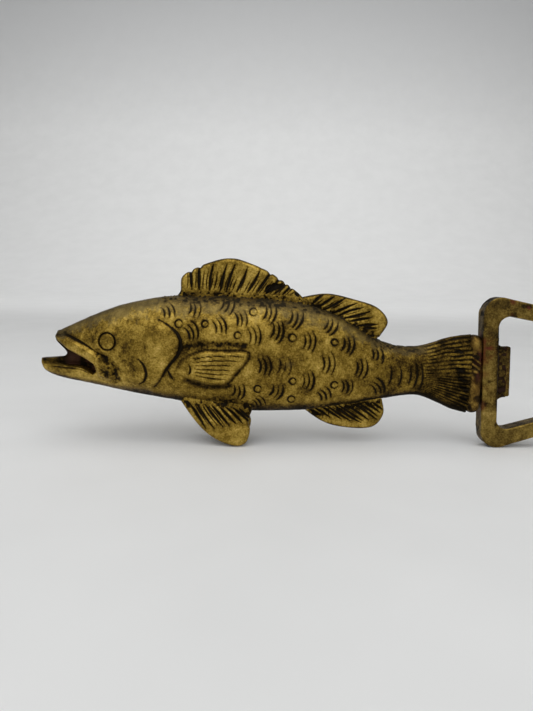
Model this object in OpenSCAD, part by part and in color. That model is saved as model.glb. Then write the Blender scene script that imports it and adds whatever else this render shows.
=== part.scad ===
// Souvenir bottle opener: a full-round cast brass fish with a flat steel opener loop in its tail.
// The fish is two half castings that meet on the mid-plane and close round the loop's tang.
// +Z is up and the nose points to -X. The piece stands on its two pelvic fins and on the
// lower corner of the loop, and the origin lies on that surface under the middle of the piece.

/* [Fish] */
// Length of the fish, from its lower jaw to the end of its tail
fish_len = 127; // [120:1:134]
// Height of the shoulder above the surface
shoulder_h = 43.6; // [42:0.2:46]
// Thickness of the body across both halves
body_w = 17; // [15:0.5:19]
// Thickness of the fins that stand on the back and under the tail
fin_t = 3; // [2.4:0.2:4]
// Outward lean of each pelvic fin, in degrees
pelvic_splay = 9; // [4:1:14]

/* [Opener loop] */
// Length of the loop along its own axis
loop_len = 38.3; // [36:0.1:42]
// Height of the loop's two sides, taken to where they would meet the bar's outer face
loop_h = 48; // [46:0.5:52]
// Lean of each outer side towards the axis, in degrees
side_taper = 15; // [12:0.5:17]
// Lean of each inner side towards the axis, in degrees
inner_taper = 13; // [10:0.5:15]
// Width of the bar that crosses the tail, and of the bar at the far end
bar_w = 4.7; // [4:0.1:5.5]
// Thickness of the steel
bar_t = 4.8; // [4:0.1:5.6]
// Lean of the whole loop, its far end up, in degrees
loop_tilt = 3; // [0:0.5:4]

/* [Catch lug] */
// Width of the edge that goes under the cap
lug_w = 15.2; // [12:0.2:17]
// Reach of the lug into the opening
lug_reach = 4.8; // [4:0.1:6]
// Thickness of the lug, which lies flush with the back of the loop
lug_t = 2.4; // [2:0.1:3]

/* [Joint] */
// Thickness of the brazed collar between tail and loop
collar_t = 6.4; // [5.6:0.2:7]
// Width of the collar, which is the gap between the tail and the bar
collar_gap = 3.5; // [3:0.1:4.5]
// Length of the tang that the tail closes round
tang_len = 12; // [8:0.5:14]

/* [Hidden] */
$fn = 48;

brass = [0.55, 0.44, 0.17];
dull_brass = [0.47, 0.37, 0.16];
filler = [0.40, 0.29, 0.13];

// The fish is drawn 127 long and 43.6 high at the shoulder, then stretched to its sizes
DRAWN_LEN = 127;
DRAWN_H = 43.6;
sx = fish_len / DRAWN_LEN;
sz = shoulder_h / DRAWN_H;

// Back, belly and half thickness of the body along its length: [distance from the jaw, value]
BACK = [[0, 24.5], [3.7, 31.8], [6.3, 33], [17, 38], [25, 40.9], [37, 43.2], [48, 43.6], [60, 43.6],
    [76, 42.4], [88, 38.5], [98, 32.5], [104, 30.4], [109, 29.9], [114, 30.7], [121, 33],
    [DRAWN_LEN, 33.8]];
BELLY = [[0, 22.6], [1.2, 20.8], [5, 19], [15, 17], [29, 14.4], [41, 12.5], [52, 10.9], [63, 9.8],
    [78, 10.3], [90, 12], [102, 14.2], [108, 15.3], [112.5, 15.3], [117, 13.7], [122, 11.5],
    [DRAWN_LEN, 10.2]];
FLANK = [[0, 1.4], [1.5, 2.4], [5, 3.3], [16, 5.3], [24, 6.8], [34, 8.1], [43, 8.5], [56, 8.5],
    [70, 8], [84, 6.7], [95, 5.3], [104, 4.3], [112, 3.6], [120, 3.1], [DRAWN_LEN, 2.9]];
FLANK_DRAWN = 8.5;
SECTION_POWER = 2.2;
STATIONS = 44;
RING = 12;

// Outlines on the flank, [distance from the jaw, height]
MOUTH_GAP = [[-2, 24.4], [1, 24.5], [4.6, 24.8], [6.8, 25.1], [7.9, 26], [7.6, 27], [5.2, 29.6],
    [4.8, 31.3], [5.1, 32.3], [4.4, 33.2], [-2, 35]];
MOUTH_SIDE = [[-2, 22.9], [7, 22.8], [12.9, 22.4], [14.7, 21.6], [16.2, 20.4], [17.4, 21.3],
    [16.9, 23.6], [14.8, 24.9], [9.4, 27.5], [5.3, 30.6], [-2, 33]];
MAXILLA = [[5.3, 30.7], [7, 31.9], [10.7, 30.7], [15.7, 28.2], [20.3, 24.8], [22.4, 22.4],
    [22.6, 19.9], [21, 18.6], [18.2, 19.6], [17.4, 22], [14.8, 24.9], [9.4, 27.5]];
GILL_EDGE = [[36.5, 37], [39.3, 35.4], [41.8, 33.2], [42.8, 30.3], [42, 27.5],
    [38.7, 23.3], [36.5, 19.6], [34.6, 17.4]];
EYE = [21.3, 30.4];
EYE_R = 2.1;
EYE_H = 1.7;
EYE_SUNK = 1;
WEB_T = 1.2;
HEAD_GROW = 1.06;
MAXILLA_GROW = 1.14;

// Free edges of the fins, from front to back; each fin's rays run to its edge from a root line in the body
DORSAL = [[39.6, 42.8], [41.4, 45], [42, 49.2], [47, 52.2], [52.4, 54.1], [56, 54.6], [59.6, 54],
    [67.2, 50.9], [75.4, 45.3], [78.5, 42]];
SECOND_DORSAL = [[74.5, 42.8], [78, 44.1], [84.5, 45], [91.7, 43.6], [98.9, 41.3], [102.3, 37.2],
    [100.2, 32.9]];
ANAL = [[78.4, 10.4], [83.4, 7], [88.4, 5.3], [95.8, 4.7], [100.1, 5.8], [102.4, 9.5], [101.8, 13.6]];
TAIL = [[125.6, 11.5], [126, 18], [126, 27], [125.6, 32.8]];
// A pelvic fin's edge has [distance from the jaw, share of the way down from its root to the surface]
PELVIC = [[42, 0.05], [45, 0.36], [48.6, 0.66], [52.6, 0.87], [57.8, 1], [61.2, 0.93], [62.4, 0.66],
    [61.9, 0.45], [63, 0.2]];
PELVIC_ROOT = [44, 62];
PELVIC_ROOT_H = 13.6;
ROOT_SUNK = 1.5;
PELVIC_OUT = 3.6;
PECTORAL = [[43.3, 25.8], [49.8, 28.5], [61, 28.6], [61.6, 26.4], [55.7, 19.2], [48.4, 19.2]];
PECTORAL_ROOT = [[41.4, 23.6], [42.6, 21.8]];
PECTORAL_IN = 6.6;
PECTORAL_T = 2.4;
RAY_SIDES = 6;
// A ray's tip is this much as thick as its root
RAY_TIP = 0.8;
SMALL_RAY_T = 0.9;
// The tail's rays start from this line and lie this far out from the mid-plane
TAIL_ROOT = [[109, 20], [109, 25.4]];
TAIL_RAY_T = 1.6;
TAIL_RAY_OUT = 2.3;

OUTER_R = 5;
INNER_R = 3;
INNER_START = 18.6;
LUG_FILLET_R = 3;
TANG_H = 8;
TANG_T = 3;
FIT = 0.1;
BRAZE_SPREAD = 0.6;
BRAZE_ENDS = [13, 31];
FAR = 80;

// The loop's own frame: x along its axis from the bar's outer face, z across it
side_start = loop_h / 2;
corner_in = side_start - OUTER_R * tan(side_taper) - OUTER_R / cos(side_taper);
corner_far = side_start - (loop_len - OUTER_R) * tan(side_taper) - OUTER_R / cos(side_taper);
loop_z = corner_in * cos(loop_tilt) - OUTER_R * sin(loop_tilt) + OUTER_R;
loop_reach = (loop_len - OUTER_R) * cos(loop_tilt) + corner_far * sin(loop_tilt) + OUTER_R;
bar_x = fish_len + collar_gap;
overall_len = bar_x + loop_reach;

// Number of the stretch between two points that x lies in
function segment(p, x, i = 0) = (i >= len(p) - 2 || x < p[i + 1][0]) ? i : segment(p, x, i + 1);

// Slope at a point, taken between the points on its two sides
function slope(p, i) =
    let (a = p[max(i - 1, 0)], b = p[min(i + 1, len(p) - 1)])
    (b[1] - a[1]) / (b[0] - a[0]);

// Value at x of a smooth curve through the points
function curve(p, x) =
    let (i = segment(p, x), w = p[i + 1][0] - p[i][0], t = (x - p[i][0]) / w)
    p[i][1] * (2 * pow(t, 3) - 3 * t * t + 1)
        + p[i + 1][1] * (3 * t * t - 2 * pow(t, 3))
        + slope(p, i) * w * (pow(t, 3) - 2 * t * t + t)
        + slope(p, i + 1) * w * (pow(t, 3) - t * t);

// Point at t, from 0 to 1, along a smooth line through the points
function along(p, t) =
    let (
        last = len(p) - 1,
        i = min(floor(t * last), last - 1),
        u = t * last - i,
        a = p[max(i - 1, 0)],
        b = p[i],
        c = p[i + 1],
        d = p[min(i + 2, last)]
    )
    0.5 * (2 * b + (c - a) * u + (2 * a - 5 * b + 4 * c - d) * u * u + (3 * b - a - 3 * c + d) * pow(u, 3));

function smooth(p, steps = 3) =
    let (n = (len(p) - 1) * steps)
    [for (i = [0:n]) along(p, i / n)];

function stretched(p) = [for (q = p) [q[0] * sx, q[1] * sz]];

// Stations close up towards the nose, where the head changes fastest
function station(i) = DRAWN_LEN * (0.25 * pow(i / STATIONS, 2) + 0.75 * i / STATIONS);

function round_side(c) = sign(c) * pow(abs(c), 2 / SECTION_POWER);

function ring(x, grow) =
    let (
        top = curve(BACK, x),
        low = curve(BELLY, x),
        half = curve(FLANK, x) * body_w / (2 * FLANK_DRAWN) * grow
    )
    [for (k = [0:RING])
        let (a = 90 - 180 * k / RING, side = (k == 0 || k == RING) ? 0 : round_side(cos(a)))
        [x * sx, -half * side, ((top + low) / 2 + (top - low) / 2 * round_side(sin(a))) * sz]];

// Left half of the body, flat on the mid-plane, with its thickness times grow
module body_loft(grow = 1) {
    row = RING + 1;
    skin = [for (i = [0:STATIONS - 1], k = [0:RING - 1])
        [i * row + k, (i + 1) * row + k, (i + 1) * row + k + 1, i * row + k + 1]];
    flat_side = [for (i = [0:STATIONS - 1])
        [i * row, i * row + RING, (i + 1) * row + RING, (i + 1) * row]];
    front = [for (k = [0:RING]) k];
    rear = [for (k = [0:RING]) STATIONS * row + RING - k];
    polyhedron(
        points = [for (i = [0:STATIONS]) each ring(station(i), grow)],
        faces = concat(skin, flat_side, [front, rear]),
        convexity = 4
    );
}

// An outline on the flank, cut through from y0 outwards
module through(outline, y0 = 0) {
    translate([0, -y0, 0])
        rotate([90, 0, 0])
            linear_extrude(FAR)
                polygon(stretched(outline));
}

// The part of the body inside an outline, standing proud of the rest
module raised(outline, grow) {
    intersection() {
        body_loft(grow);
        through(outline);
    }
}

// The head as far back as the edge of its gill cover
module head_cover() {
    edge = smooth(GILL_EDGE);
    over = [[-FAR, 0], [-FAR, FAR], [edge[0][0], FAR]];
    under = [[edge[len(edge) - 1][0], 0]];
    raised(concat(over, edge, under), HEAD_GROW);
}

module eye() {
    translate([EYE[0] * sx, -(curve(FLANK, EYE[0]) - EYE_SUNK) * body_w / (2 * FLANK_DRAWN), EYE[1] * sz])
        rotate([90, 0, 0])
            cylinder(h = EYE_H, r = EYE_R, $fn = 24);
}

module ray(from, to, y, thick) {
    hull() {
        translate([from[0], y, from[1]])
            sphere(d = thick, $fn = RAY_SIDES);
        translate([to[0], y, to[1]])
            sphere(d = thick * RAY_TIP, $fn = RAY_SIDES);
    }
}

// A fin on the mid-plane: a thin web between rays that fan from its root to its free edge
module fin(edge, root_a, root_b, rays) {
    ray_t = fin_t / 2;
    tips = smooth(stretched(edge));
    roots = stretched([root_a, root_b]);
    rotate([90, 0, 0])
        linear_extrude(ray_t * 0.7)
            polygon(concat(tips, [roots[1], roots[0]]));
    for (i = [0:rays]) {
        t = i / rays;
        tip = along(tips, 0.04 + 0.92 * t);
        root = roots[0] + (roots[1] - roots[0]) * t;
        ray(root, root + (tip - root) * 0.93, -ray_t / 2, ray_t);
    }
}

// The fan of the tail is part of the body's own thickness, so only its rays stand proud
module tail_rays(rays = 7) {
    root = stretched(TAIL_ROOT);
    for (i = [0:rays]) {
        t = i / rays;
        to = along(stretched(TAIL), t);
        ray(root[0] + (root[1] - root[0]) * t, to, -TAIL_RAY_OUT, TAIL_RAY_T);
    }
}

module pelvic_fin() {
    t = fin_t * 0.8;
    depth = (PELVIC_ROOT_H * sz - t / 2 * sin(pelvic_splay)) / cos(pelvic_splay);
    edge = smooth([for (p = PELVIC) [p[0] * sx, -p[1] * depth]]);
    root_line = [for (x = PELVIC_ROOT) [x * sx, ROOT_SUNK]];
    translate([0, -PELVIC_OUT, PELVIC_ROOT_H * sz])
        rotate([-pelvic_splay, 0, 0]) {
            translate([0, t / 2, 0])
                rotate([90, 0, 0])
                    linear_extrude(t)
                        polygon(concat([root_line[0]], edge, [root_line[1]]));
            for (i = [0:5]) {
                tip = along(edge, 0.2 + 0.12 * i);
                root = [root_line[0][0] + (1 + 3 * i) * sx, 0];
                ray(root, root + (tip - root) * 0.85, -t / 2, SMALL_RAY_T);
            }
        }
}

module pectoral_fin() {
    tips = smooth(stretched(PECTORAL));
    root = stretched(PECTORAL_ROOT);
    translate([0, -PECTORAL_IN * body_w / (2 * FLANK_DRAWN), 0]) {
        rotate([90, 0, 0])
            linear_extrude(PECTORAL_T)
                polygon(concat(tips, [root[1], root[0]]));
        for (i = [0:4]) {
            tip = along(tips, 0.32 + 0.13 * i);
            from = root[0] + (root[1] - root[0]) * i / 4 + [2, 0];
            ray(from, from + (tip - from) * 0.92, -PECTORAL_T, SMALL_RAY_T);
        }
    }
}

module fish_half() {
    difference() {
        union() {
            body_loft();
            head_cover();
            raised(smooth(concat(MAXILLA, [MAXILLA[0]])), MAXILLA_GROW);
        }
        through(smooth(MOUTH_GAP), -1);
        through(MOUTH_SIDE, WEB_T);
        loop_frame()
            tang(FIT);
    }
    eye();
    fin(DORSAL, [43, 41], [77, 40], 12);
    fin(SECOND_DORSAL, [79, 39], [96, 31], 8);
    fin(ANAL, [80, 12], [100, 16], 8);
    tail_rays();
    pelvic_fin();
    pectoral_fin();
}

module centred() {
    translate([-overall_len / 2, 0, 0])
        children();
}

module loop_frame() {
    translate([bar_x, 0, loop_z])
        rotate([0, -loop_tilt, 0])
            children();
}

// A plate on the loop, from the back face towards the front
module plate(thick) {
    translate([0, bar_t / 2, 0])
        rotate([90, 0, 0])
            linear_extrude(thick)
                children();
}

function normal(a, b) = [b[1] - a[1], a[0] - b[0]] / norm(b - a);

// A four-sided outline with round corners about the given centres, which run anticlockwise
module rounded(centres, r) {
    polygon([for (i = [0:3])
        let (a = centres[i], b = centres[(i + 1) % 4])
        each [a + r * normal(a, b), b + r * normal(a, b)]]);
    for (c = centres)
        translate(c)
            circle(r);
}

function corners(x0, x1, start, taper, r) =
    let (
        near = start - (x0 + r) * tan(taper) - r / cos(taper),
        far = start - (x1 - r) * tan(taper) - r / cos(taper)
    )
    [[x0 + r, -near], [x1 - r, -far], [x1 - r, far], [x0 + r, near]];

module loop_outline() {
    difference() {
        rounded(corners(0, loop_len, side_start, side_taper, OUTER_R), OUTER_R);
        rounded(corners(bar_w, loop_len - bar_w, INNER_START, inner_taper, INNER_R), INNER_R);
    }
}

// The lug grows out of the bar with a hollow fillet on each side
module lug_outline() {
    translate([bar_w - 1, -lug_w / 2])
        square([lug_reach + 1, lug_w]);
    for (side = [-1, 1])
        scale([1, side])
            translate([bar_w, lug_w / 2])
                difference() {
                    translate([-1, -1])
                        square([LUG_FILLET_R + 1, LUG_FILLET_R + 1]);
                    translate([LUG_FILLET_R, LUG_FILLET_R])
                        circle(LUG_FILLET_R);
                }
}

module tang(gap = 0) {
    translate([-tang_len - gap, -TANG_T / 2 - gap, -TANG_H / 2 - gap])
        cube([tang_len + gap + 1, TANG_T + 2 * gap, TANG_H + 2 * gap]);
}

module fish_left_half() {
    color(brass)
        centred()
            fish_half();
}

module fish_right_half() {
    color(brass)
        centred()
            mirror([0, 1, 0])
                fish_half();
}

module opener_frame() {
    color(dull_brass)
        centred()
            loop_frame() {
                plate(bar_t)
                    loop_outline();
                plate(lug_t)
                    lug_outline();
                tang();
            }
}

module tail_braze() {
    ball = collar_t - 2 * BRAZE_SPREAD;
    color(filler)
        centred()
            difference() {
                hull()
                    for (y = [-BRAZE_SPREAD, BRAZE_SPREAD], z = BRAZE_ENDS * sz)
                        translate([fish_len + collar_gap / 2, y, z])
                            sphere(d = ball, $fn = 32);
                translate([fish_len - FAR, -FAR / 2, 0])
                    cube(FAR);
                loop_frame()
                    translate([0, -FAR / 2, -FAR / 2])
                        cube(FAR);
                loop_frame()
                    tang();
            }
}

fish_left_half();
fish_right_half();
opener_frame();
tail_braze();
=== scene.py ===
"""Looks of a souvenir bottle opener: a cast brass fish with a steel opener loop in its tail.

Shapes are drawn in millimetres in the fish's own frame: x runs from the tip of the lower jaw
towards the loop, z is the height above the floor, and y = 0 is the plane where the halves meet.
"""
import math

import bmesh
import bpy
import numpy as np
from mathutils import Matrix, Vector


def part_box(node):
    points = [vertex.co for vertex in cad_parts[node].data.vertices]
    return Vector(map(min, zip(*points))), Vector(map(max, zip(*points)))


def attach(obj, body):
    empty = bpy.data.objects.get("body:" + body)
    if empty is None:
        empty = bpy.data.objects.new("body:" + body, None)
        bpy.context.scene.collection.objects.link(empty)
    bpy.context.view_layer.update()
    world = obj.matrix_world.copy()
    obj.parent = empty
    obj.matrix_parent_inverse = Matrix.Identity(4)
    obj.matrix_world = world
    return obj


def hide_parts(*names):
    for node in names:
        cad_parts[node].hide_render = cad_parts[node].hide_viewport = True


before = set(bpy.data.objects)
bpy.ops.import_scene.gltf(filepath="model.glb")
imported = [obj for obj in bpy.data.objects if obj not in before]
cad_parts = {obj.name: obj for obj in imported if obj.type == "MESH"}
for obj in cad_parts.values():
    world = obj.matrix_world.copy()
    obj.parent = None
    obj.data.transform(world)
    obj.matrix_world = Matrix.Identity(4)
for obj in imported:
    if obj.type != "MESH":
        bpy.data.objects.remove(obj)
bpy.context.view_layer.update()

MM = 0.001
TINY = 1e-9
NOSE_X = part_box("fish_left_half")[0][0] / MM
HALF_WIDTH = -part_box("fish_left_half")[0][1] / MM - 0.03
FISH_LEN = 127
COLLAR_GAP = 3.5

# Back, belly and half thickness of the body along its length
BACK = [(0, 24.5), (3.7, 31.8), (6.3, 33), (17, 38), (25, 40.9), (37, 43.2), (48, 43.6), (60, 43.6),
        (76, 42.4), (88, 38.5), (98, 32.5), (104, 30.4), (109, 29.9), (114, 30.7), (121, 33),
        (FISH_LEN, 33.8)]
BELLY = [(0, 22.6), (1.2, 20.8), (5, 19), (15, 17), (29, 14.4), (41, 12.5), (52, 10.9), (63, 9.8),
         (78, 10.3), (90, 12), (102, 14.2), (108, 15.3), (112.5, 15.3), (117, 13.7), (122, 11.5),
         (FISH_LEN, 10.2)]
FLANK = [(0, 1.4), (1.5, 2.4), (5, 3.3), (16, 5.3), (24, 6.8), (34, 8.1), (43, 8.5), (56, 8.5),
         (70, 8), (84, 6.7), (95, 5.3), (104, 4.3), (112, 3.6), (120, 3.1), (FISH_LEN, 2.9)]
SECTION_POWER = 2.2
SIDES = {-1: "left", 1: "right"}
STATIONS = 540
RING = 200

# Outlines on the flank
MOUTH_GAP = [(-2, 24.4), (1, 24.5), (4.6, 24.8), (6.8, 25.1), (7.9, 26), (7.6, 27), (5.2, 29.6),
             (4.8, 31.3), (5.1, 32.3), (4.4, 33.2), (-2, 35)]
MOUTH_SIDE = [(-2, 22.9), (7, 22.8), (12.9, 22.4), (14.7, 21.6), (16.2, 20.4), (17.4, 21.3),
              (16.9, 23.6), (14.8, 24.9), (9.4, 27.5), (5.3, 30.6), (-2, 33)]
MAXILLA = [(5.3, 30.7), (7, 31.9), (10.7, 30.7), (15.7, 28.2), (20.3, 24.8), (22.4, 22.4), (22.6, 19.9),
           (21, 18.6), (18.2, 19.6), (17.4, 22), (14.8, 24.9), (9.4, 27.5), (5.3, 30.7)]
GILL_EDGE = [(36.5, 37), (39.3, 35.4), (41.8, 33.2), (42.8, 30.3), (42, 27.5), (38.7, 23.3),
             (36.5, 19.6), (34.6, 17.4)]
EYE = (21.3, 30.4)
EYE_RING_R = 2.45
PECTORAL = [(41.1, 22.2), (43.3, 25.8), (47, 27.8), (49.8, 28.6), (55.1, 28.5), (61, 28.5), (61.6, 26.5),
            (57.9, 21.8), (55.7, 19.2), (52.5, 18.6), (48.4, 19), (44.4, 20.6), (41.1, 22.2)]

# Cuts on the flank that stand for scales: middle, height of the longest arc, lean in degrees
SCALE_MARKS = [
    (38.7, 39.6, 3.4, 28), (46.1, 40.4, 4, 4), (55.4, 41.6, 4.4, -4), (67.5, 39.6, 4.6, -6),
    (75, 38, 4.4, -14), (85.1, 36.1, 4.2, -24), (45.5, 34.1, 4.2, 30), (53.3, 35.8, 4.4, 24),
    (59.3, 37.9, 4.2, 14), (63.2, 33.4, 5, 10), (69.7, 34.7, 4.8, -8), (78.8, 31.8, 4.8, -2),
    (90.1, 30.8, 4.6, -6), (66.2, 24.9, 4.6, 6), (71.9, 24.6, 4.8, 0), (84.4, 25.5, 5.2, 4),
    (94.1, 24.1, 4.8, -2), (78.7, 20.5, 4.6, 0), (90.3, 18.5, 4, 4), (58.9, 17, 4, -6),
    (69.9, 17.1, 4, -12), (64.8, 13.6, 3.2, 32), (83.7, 16.3, 3.6, 34), (99.3, 18.4, 4.4, 38),
    (98.8, 28, 3, 6),
]
WORN_MARK = (71.9, 24.6)
MARK_GAP = 1.35
RINGS = [(62.9, 39.6), (58.6, 33.1), (74.1, 32.6), (86.2, 31.4), (64.5, 17.7), (74.5, 20.1),
         (74.3, 14.5), (86.6, 19), (42, 36), (49.4, 36.1)]
RING_R = 1.05

# Free edges of the fins on the mid-plane, from front to back
DORSAL = [(39.6, 42.8), (41.4, 45), (42, 49.2), (47, 52.2), (52.4, 54.1), (56, 54.6), (59.6, 54),
          (67.2, 50.9), (75.4, 45.3), (78.5, 42)]
SECOND_DORSAL = [(74.5, 42.8), (78, 44.1), (84.5, 45), (91.7, 43.6), (98.9, 41.3), (102.3, 37.2),
                 (100.2, 32.9)]
ANAL = [(78.4, 10.4), (83.4, 7), (88.4, 5.3), (95.8, 4.7), (100.1, 5.8), (102.4, 9.5), (101.8, 13.6)]
FIN_HALF_T = 1.35
FIN_LINES = 260
FIN_STEPS = 80
FINEST_T = 0.25

# The pelvic fins' free edge, as the distance from the jaw and the share of their depth
PELVIC = [(42, 0.05), (45, 0.36), (48.6, 0.66), (52.6, 0.87), (57.8, 1), (61.2, 0.93), (62.4, 0.66),
          (61.9, 0.45), (63, 0.2)]
PELVIC_ROOT_H = 13.6
PELVIC_OUT = 3.6
PELVIC_SPLAY = 9
PELVIC_T = 2.4
PELVIC_LINES = 220
PELVIC_STEPS = 70

# The opener loop's own frame: x along its axis from the bar's outer face, z across it
LOOP_LEN = 38.3
LOOP_H = 48
SIDE_TAPER = 15
INNER_START = 18.6
INNER_TAPER = 13
BAR_W = 4.7
BAR_T = 4.8
LOOP_TILT = 3
OUTER_R = 5
INNER_R = 3
SOFT_EDGE = 0.55
LUG_W = 15.2
LUG_REACH = 4.8
LUG_FILLET = 3
TANG = (12, 3, 8)
TANG_EDGE = 0.4

# The filler bead: its lower and upper ends, and the lump of filler near its top
BEAD = (10.3, 33.8)
BEAD_LUMP = (127.8, 31.6)


# ---------------------------------------------------------------- lines, curves and noise

def curve(points, x):
    """Value at x of a smooth curve through the points, as the CAD model has it."""
    px, pv = np.array(points, float).T
    last = len(px) - 1
    before = np.maximum(np.arange(last + 1) - 1, 0)
    after = np.minimum(np.arange(last + 1) + 1, last)
    slope = (pv[after] - pv[before]) / (px[after] - px[before])
    i = np.clip(np.searchsorted(px, x, side="right") - 1, 0, last - 1)
    width = px[i + 1] - px[i]
    t = (x - px[i]) / width
    ends = pv[i] * (2 * t**3 - 3 * t**2 + 1) + pv[i + 1] * (3 * t**2 - 2 * t**3)
    return ends + width * (slope[i] * (t**3 - 2 * t**2 + t) + slope[i + 1] * (t**3 - t**2))


def smooth_line(points, steps=8):
    """A smooth line through the points, with that many steps between neighbours."""
    p = np.array(points, float)
    p = np.vstack([p[:1], p, p[-1:]])
    line = []
    for a, b, c, d in zip(p, p[1:], p[2:], p[3:]):
        for u in np.arange(steps) / steps:
            square = (2 * a - 5 * b + 4 * c - d) * u**2
            cube = (3 * b - a - 3 * c + d) * u**3
            line.append(0.5 * (2 * b + (c - a) * u + square + cube))
    line.append(p[-1])
    return np.array(line)


def spaced(line, count):
    """The line as count points at even steps along it."""
    line = np.array(line, float)
    run = np.concatenate([[0], np.cumsum(np.linalg.norm(np.diff(line, axis=0), axis=1))])
    at = np.linspace(0, run[-1], count)
    return np.stack([np.interp(at, run, line[:, k]) for k in range(line.shape[1])], axis=1)


def distance(line, x, z):
    """Distance from each place (x, z) to the line."""
    best = np.full(x.shape, np.inf)
    for (ax, az), (bx, bz) in zip(line[:-1], line[1:]):
        dx = bx - ax
        dz = bz - az
        t = np.clip(((x - ax) * dx + (z - az) * dz) / max(dx * dx + dz * dz, TINY), 0, 1)
        best = np.minimum(best, np.hypot(x - ax - t * dx, z - az - t * dz))
    return best


def inside(outline, x, z):
    """True at each place (x, z) inside the outline."""
    odd = np.zeros(x.shape, bool)
    for (ax, az), (bx, bz) in zip(outline, np.roll(outline, -1, axis=0)):
        if az == bz:
            continue
        crosses = (az > z) != (bz > z)
        odd ^= crosses & (x < ax + (bx - ax) * (z - az) / (bz - az))
    return odd


def depth_inside(outline, x, z):
    """Distance to the outline, positive inside it and negative outside."""
    closed = np.vstack([outline, outline[:1]])
    return np.where(inside(outline, x, z), 1, -1) * distance(closed, x, z)


def step(value, low, high):
    """0 below low, 1 above high and smooth between."""
    t = np.clip((value - low) / (high - low), 0, 1)
    return t * t * (3 - 2 * t)


def bump(value, width):
    """1 where value is 0, falling away on both sides over about the width."""
    return np.exp(-(value / width) ** 2)


def lumps(places, size, seed):
    """Smooth noise from -1 to 1, with lumps about that size across."""
    cells = 24
    grid = np.random.default_rng(seed).uniform(-1, 1, (cells, cells, cells))
    q = places / size
    base = np.floor(q).astype(int)
    f = q - base
    f = f * f * (3 - 2 * f)
    total = np.zeros(places.shape[:-1])
    for corner in np.ndindex(2, 2, 2):
        weight = np.prod(np.where(corner, f, 1 - f), axis=-1)
        cell = (base + corner) % cells
        total += weight * grid[cell[..., 0], cell[..., 1], cell[..., 2]]
    return total


def superellipse(c):
    """A cosine or sine made fuller, so that it draws a squarer ring than an ellipse."""
    return np.sign(c) * np.abs(c) ** (2 / SECTION_POWER)


# ---------------------------------------------------------------- relief cut into a surface

class Relief:
    """What is worked into a surface at each place (x, z): its height, its darkening and its dark oxide; the
    darkening is dirt in most places and painted shade in a few.
    """

    def __init__(self, x, y, z, seed):
        self.x = x
        self.z = z
        self.places = np.stack([x, y, z], axis=-1)
        self.seed = seed
        self.height = np.zeros(x.shape)
        self.grime_and_shade = np.zeros(x.shape)
        self.oxide = np.zeros(x.shape)

    def noise(self, size, seed):
        """Noise of that lump size, different for each seed here and for each surface."""
        return lumps(self.places, size, self.seed * 100 + seed)

    def spot(self, x, z, long, high):
        """1 at the place (x, z), falling away over an oval of that half length and half height."""
        return bump(np.hypot((self.x - x) / long, (self.z - z) / high), 1)

    def along(self, line, width):
        """1 on the line, falling away on both sides over about the width."""
        return bump(distance(line, self.x, self.z), width)

    def darken(self, amount):
        """At least this much darkening, which is dirt in most places and painted shade in a few."""
        self.grime_and_shade = np.maximum(self.grime_and_shade, amount)

    def cut(self, line, width, depth, grime_and_shade=1.0):
        """A groove along a line, with dirt in it and a faint stain beside it."""
        line = np.array(line, float)
        reach = 4 * width
        lo = line.min(axis=0) - reach
        hi = line.max(axis=0) + reach
        near = (self.x > lo[0]) & (self.x < hi[0]) & (self.z > lo[1]) & (self.z < hi[1])
        if not near.any():
            return
        x = self.x[near]
        z = self.z[near]
        groove = np.zeros(x.shape)
        beside = np.zeros(x.shape)
        parts = 12
        ends = spaced(line, parts + 1)
        for k, (a, b) in enumerate(zip(ends, ends[1:])):
            swell = 0.5 + 0.6 * math.sin(math.pi * ((k + 0.5) / parts) ** 0.8)
            d = distance([a, b], x, z)
            groove = np.maximum(groove, swell * bump(d, width * swell))
            beside = np.maximum(beside, bump(d, width * 2.4))
        self.height[near] -= depth * groove
        stain = grime_and_shade * np.maximum(np.clip(1.15 * groove, 0, 1), 0.2 * beside)
        self.grime_and_shade[near] = np.maximum(self.grime_and_shade[near], stain)

    def pitted(self, weight, size=0.7, depth=0.16, amount=0.85, seed=1):
        """Rough, dirty casting where weight is near 1, with pits of that size and depth.

        amount is the most grime that it adds.
        """
        grain = self.noise(size, seed) + 0.6 * self.noise(size * 2.3, seed + 1)
        pits = step(grain, 0.0, 0.45)
        self.height -= depth * weight * pits
        self.darken(amount * weight * (0.35 + 0.65 * pits))


def arc(middle, height, lean, radius_share=0.95):
    """A line that bulges towards +x, with its ends above and below, turned by lean degrees."""
    radius = height * radius_share
    spread = math.asin(height / 2 / radius)
    turn = math.radians(lean)
    line = []
    for a in np.linspace(-1.25 * spread, spread, 8):
        x = radius * (math.cos(a) - 1) + height * 0.12
        z = radius * math.sin(a)
        line.append((middle[0] + x * math.cos(turn) - z * math.sin(turn),
                     middle[1] + x * math.sin(turn) + z * math.cos(turn)))
    return line


def scale_marks(relief, random):
    """Groups of three nested arcs, each cut by hand and so a little different."""
    for x, z, height, lean in SCALE_MARKS:
        turn = math.radians(lean)
        for k in (-1, 0, 1):
            reach = MARK_GAP * k + random.uniform(-0.12, 0.12)
            tall = height * (0.92 + 0.17 * k + random.uniform(-0.05, 0.05))
            rise = reach * math.sin(turn) + random.uniform(-0.2, 0.2) - 0.1 * k
            middle = (x + reach * math.cos(turn), z + rise)
            deep = random.uniform(0.7, 1.15)
            worn = 0.5 if (x, z) == WORN_MARK else 1
            line = arc(middle, tall, lean + random.uniform(-5, 5))
            relief.cut(line, 0.24 * deep, 0.3 * deep * worn, min(1, 0.95 * deep) * worn)


def rings(relief, random):
    """Small circles cut between the scale marks."""
    for x, z in RINGS:
        r = RING_R * random.uniform(0.9, 1.08)
        turns = np.linspace(0, 2 * math.pi, 17)
        circle = np.stack([x + r * np.cos(turns), z + r * np.sin(turns)], axis=1)
        relief.cut(circle, 0.21, 0.24, random.uniform(0.8, 1))


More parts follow.
